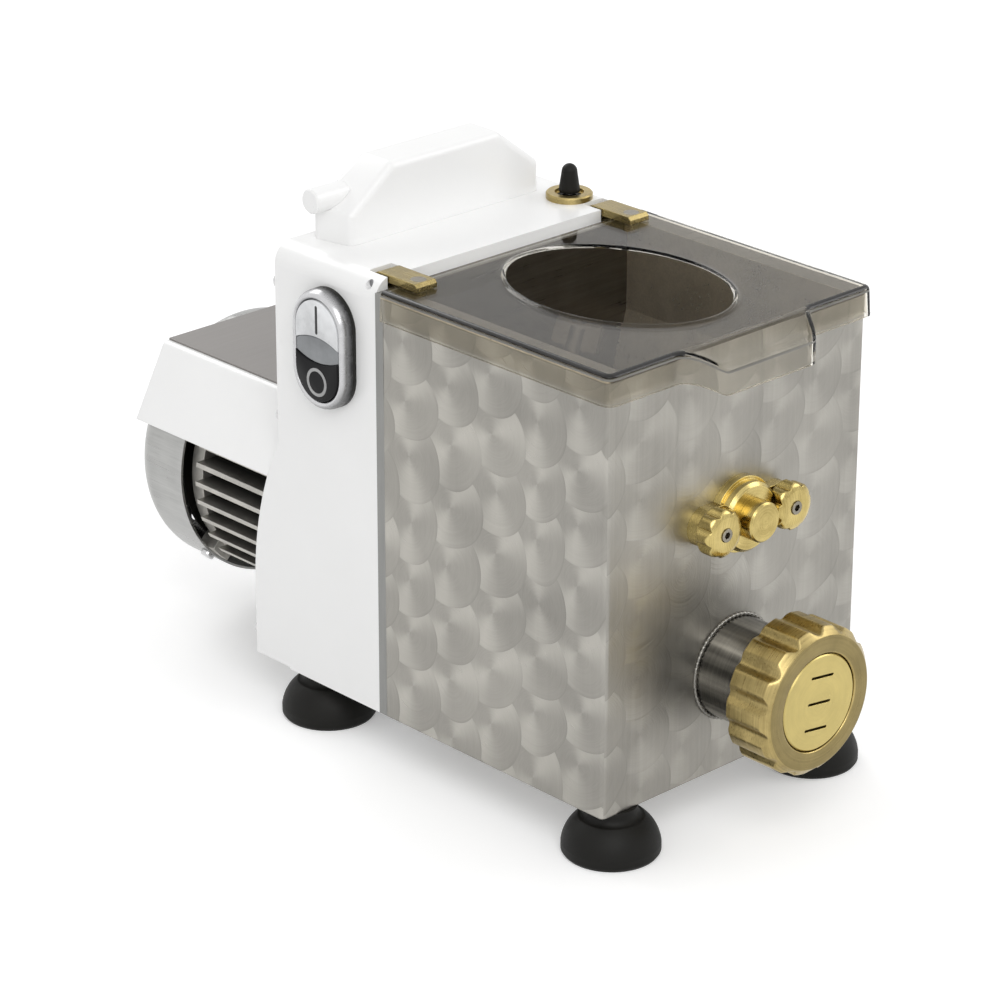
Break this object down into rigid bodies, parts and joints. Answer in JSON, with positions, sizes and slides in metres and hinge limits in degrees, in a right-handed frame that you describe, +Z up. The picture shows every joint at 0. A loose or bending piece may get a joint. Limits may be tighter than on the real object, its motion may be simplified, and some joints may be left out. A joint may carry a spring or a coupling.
{
  "type": "electric pasta extruder",
  "caption": "Countertop electric pasta extruder: steel mixing tank with clear hinged lid, screw barrel with ring nut and die, geared motor, push buttons and toggle.",
  "frame": {"origin": "on the floor under the centre of the machine", "axes": "+Z up, -Y out of the die at the front, +X to the right seen from the front"},
  "size_m": [0.1755, 0.394, 0.268],
  "materials": {
    "polished_steel": "engine-turned stainless sheet",
    "neck_steel": "turned and polished stainless",
    "plate_grey": "satin grey edge",
    "white_paint": "smooth white enamel",
    "cover_steel": "satin steel sheet",
    "brass": "turned brass, satin",
    "die_bronze": "faced bronze",
    "bush_bronze": "oiled bronze",
    "clear_plastic": "smoky clear polycarbonate",
    "bright_steel": "bright plated steel",
    "gear_steel": "machined steel",
    "copper": "enamelled copper wire",
    "cast_aluminium": "as-cast aluminium",
    "cowl_steel": "brushed sheet",
    "can_aluminium": "drawn can",
    "black_rubber": "matt rubber",
    "black_plastic": "black moulding",
    "bezel_grey": "titanium-grey satin",
    "start_grey": "light grey moulding",
    "lens_grey": "grey diffuser"
  },
  "bodies": {
    "housing": {"steel_casing": "polished_steel", "mixing_tank": "polished_steel", "extrusion_barrel": "neck_steel", "neck_weld": "neck_steel", "rear_plate": "plate_grey", "gearbox_casting": "white_paint", "rear_cover": "white_paint", "electrics_cover": "white_paint", "motor_cover": "white_paint", "side_plug": "white_paint", "cover_top_plate": "cover_steel", "front_bush": "brass", "pivot_pin": "brass", "toggle_nut": "brass", "shaft_bearings": "bush_bronze", "bush_studs": "bright_steel", "hinge_pins": "bright_steel", "housing_screws": "bright_steel", "foot_screws": "bright_steel", "bearing_plate": "gear_steel", "stator_core": "gear_steel", "stator_windings": "copper", "motor_frame": "cast_aluminium", "front_end_shield": "cast_aluminium", "rear_end_shield": "cast_aluminium", "fan_cowl": "cowl_steel", "capacitor": "can_aluminium", "rubber_feet": "black_rubber", "shaft_seals": "black_rubber", "button_base": "black_plastic", "contact_block": "black_plastic", "toggle_switch": "black_plastic", "terminal_block": "black_plastic", "cable_gland": "black_plastic", "button_bezel": "bezel_grey", "button_lens": "lens_grey"},
    "lid": {"lid": "clear_plastic", "hinge_bracket_left": "brass", "hinge_bracket_right": "brass", "bracket_screws": "bright_steel"},
    "die": {"die": "die_bronze"},
    "ring_nut": {"ring_nut": "brass"},
    "knob_left": {"knob_left": "brass"},
    "knob_right": {"knob_right": "brass"},
    "auger_shaft": {"auger": "neck_steel", "auger_wheel": "gear_steel"},
    "mixer_shaft": {"mixer": "neck_steel", "mixer_drive_shaft": "neck_steel", "mixer_wheel": "gear_steel"},
    "second_shaft": {"second_wheel": "gear_steel", "second_countershaft": "gear_steel"},
    "first_shaft": {"first_wheel": "gear_steel", "first_countershaft": "gear_steel"},
    "motor_shaft": {"rotor": "gear_steel", "motor_pinion": "gear_steel", "cooling_fan": "black_plastic"},
    "start_button": {"start_button": "start_grey"},
    "stop_button": {"stop_button": "black_plastic"},
    "toggle": {"toggle_lever": "bright_steel", "toggle_boot": "black_rubber"}
  },
  "joints": [
    {"name": "lid_hinge", "type": "hinge", "parent": "housing", "child": "lid", "pos_m": [0, 0.006, 0.23], "axis": [-1, 0, 0], "range_deg": [0, 100]},
    {"name": "die_slide", "type": "slide", "parent": "housing", "child": "die", "axis": [0, -1, 0], "range_m": [0, 0.01301]},
    {"name": "ring_nut_turn", "type": "hinge", "parent": "die", "child": "ring_nut", "pos_m": [0, -0.185, 0.072], "axis": [0, -1, 0], "range_deg": [0, 1170]},
    {"name": "knob_left_turn", "type": "hinge", "parent": "housing", "child": "knob_left", "pos_m": [-0.022, -0.155, 0.146], "axis": [0, -1, 0], "range_deg": [0, 1080]},
    {"name": "knob_right_turn", "type": "hinge", "parent": "housing", "child": "knob_right", "pos_m": [0.022, -0.155, 0.146], "axis": [0, -1, 0], "range_deg": [0, 1080]},
    {"name": "rotor_spin", "type": "hinge", "parent": "housing", "child": "motor_shaft", "pos_m": [0, 0.124, 0.085], "axis": [0, -1, 0], "continuous": true},
    {"name": "first_shaft_spin", "type": "hinge", "parent": "housing", "child": "first_shaft", "pos_m": [0.027, 0.055, 0.13435], "axis": [0, -1, 0], "continuous": true},
    {"name": "second_shaft_spin", "type": "hinge", "parent": "housing", "child": "second_shaft", "pos_m": [-0.02634, 0.045, 0.12591], "axis": [0, -1, 0], "continuous": true},
    {"name": "auger_spin", "type": "hinge", "parent": "housing", "child": "auger_shaft", "pos_m": [0, 0.02, 0.072], "axis": [0, -1, 0], "continuous": true},
    {"name": "mixer_spin", "type": "hinge", "parent": "housing", "child": "mixer_shaft", "pos_m": [0, 0.02, 0.146], "axis": [0, -1, 0], "continuous": true},
    {"name": "start_press", "type": "slide", "parent": "housing", "child": "start_button", "axis": [1, 0, 0], "range_m": [0, 0.003], "stiffness_N_per_m": 600},
    {"name": "stop_press", "type": "slide", "parent": "housing", "child": "stop_button", "axis": [1, 0, 0], "range_m": [0, 0.003], "stiffness_N_per_m": 600},
    {"name": "toggle_tilt", "type": "hinge", "parent": "housing", "child": "toggle", "pos_m": [0.0615, 0.023, 0.232], "axis": [1, 0, 0], "range_deg": [-12, 12]}
  ],
  "couplings": [
    {"joint": "first_shaft_spin", "follows": "rotor_spin", "ratio": -0.25},
    {"joint": "second_shaft_spin", "follows": "rotor_spin", "ratio": 0.083333},
    {"joint": "auger_spin", "follows": "rotor_spin", "ratio": -0.035714},
    {"joint": "mixer_spin", "follows": "rotor_spin", "ratio": 0.046875},
    {"joint": "die_slide", "follows": "ring_nut_turn", "m_per_rad": 0.00063662}
  ]
}
